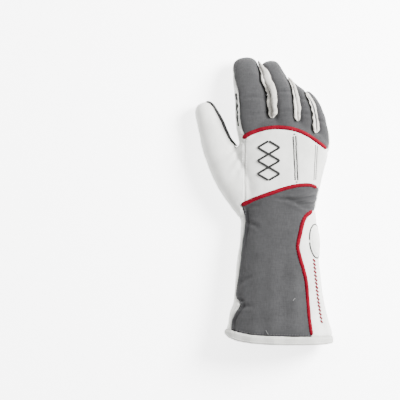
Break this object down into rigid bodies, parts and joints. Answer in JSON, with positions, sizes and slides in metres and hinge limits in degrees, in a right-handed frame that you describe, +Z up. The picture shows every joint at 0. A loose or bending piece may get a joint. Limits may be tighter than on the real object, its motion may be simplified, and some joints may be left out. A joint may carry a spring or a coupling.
{
  "type": "racing glove, right hand, with gauntlet cuff",
  "caption": "Right-hand racing glove lying palm down: grey knit backs, white suede palm and thumb, red piping, ruffled finger gussets, oval wrist pad and an open flared gauntlet cuff.",
  "frame": {"origin": "on the flat underside of the palm, under the wrist, where the glove rests", "axes": "+X to the little-finger side, +Y to the fingertips, +Z up through the back of the hand"},
  "size_m": [0.1546, 0.3221, 0.0503],
  "materials": {
    "grey_knit": "fine matt knit, mid grey, with a faint cross weave",
    "white_suede": "soft off-white suede with a short nap",
    "white_gusset": "off-white woven cloth with ruffled outside seams",
    "white_hem": "turned off-white edge band with a stitch line",
    "red_piping": "crimson covered cord, slightly satin",
    "black_silicone": "black print, slightly raised, satin"
  },
  "bodies": {
    "root": {"finger_back_panel": "grey_knit", "hand_back_panel": "white_suede", "cuff_back_panel": "grey_knit", "side_panel": "white_suede", "thumb": "white_suede", "cuff_under_panel": "white_suede", "finger_front_panel": "white_suede", "palm_panel": "white_suede", "knuckle_piping": "red_piping", "wrist_piping": "red_piping", "side_piping": "red_piping", "gusset_index_middle": "white_gusset", "gusset_middle_ring": "white_gusset", "gusset_ring_little": "white_gusset", "hem": "white_hem", "wrist_pad": "white_suede", "index_grip": "black_silicone", "thumb_trim": "black_silicone"}
  },
  "joints": []
}
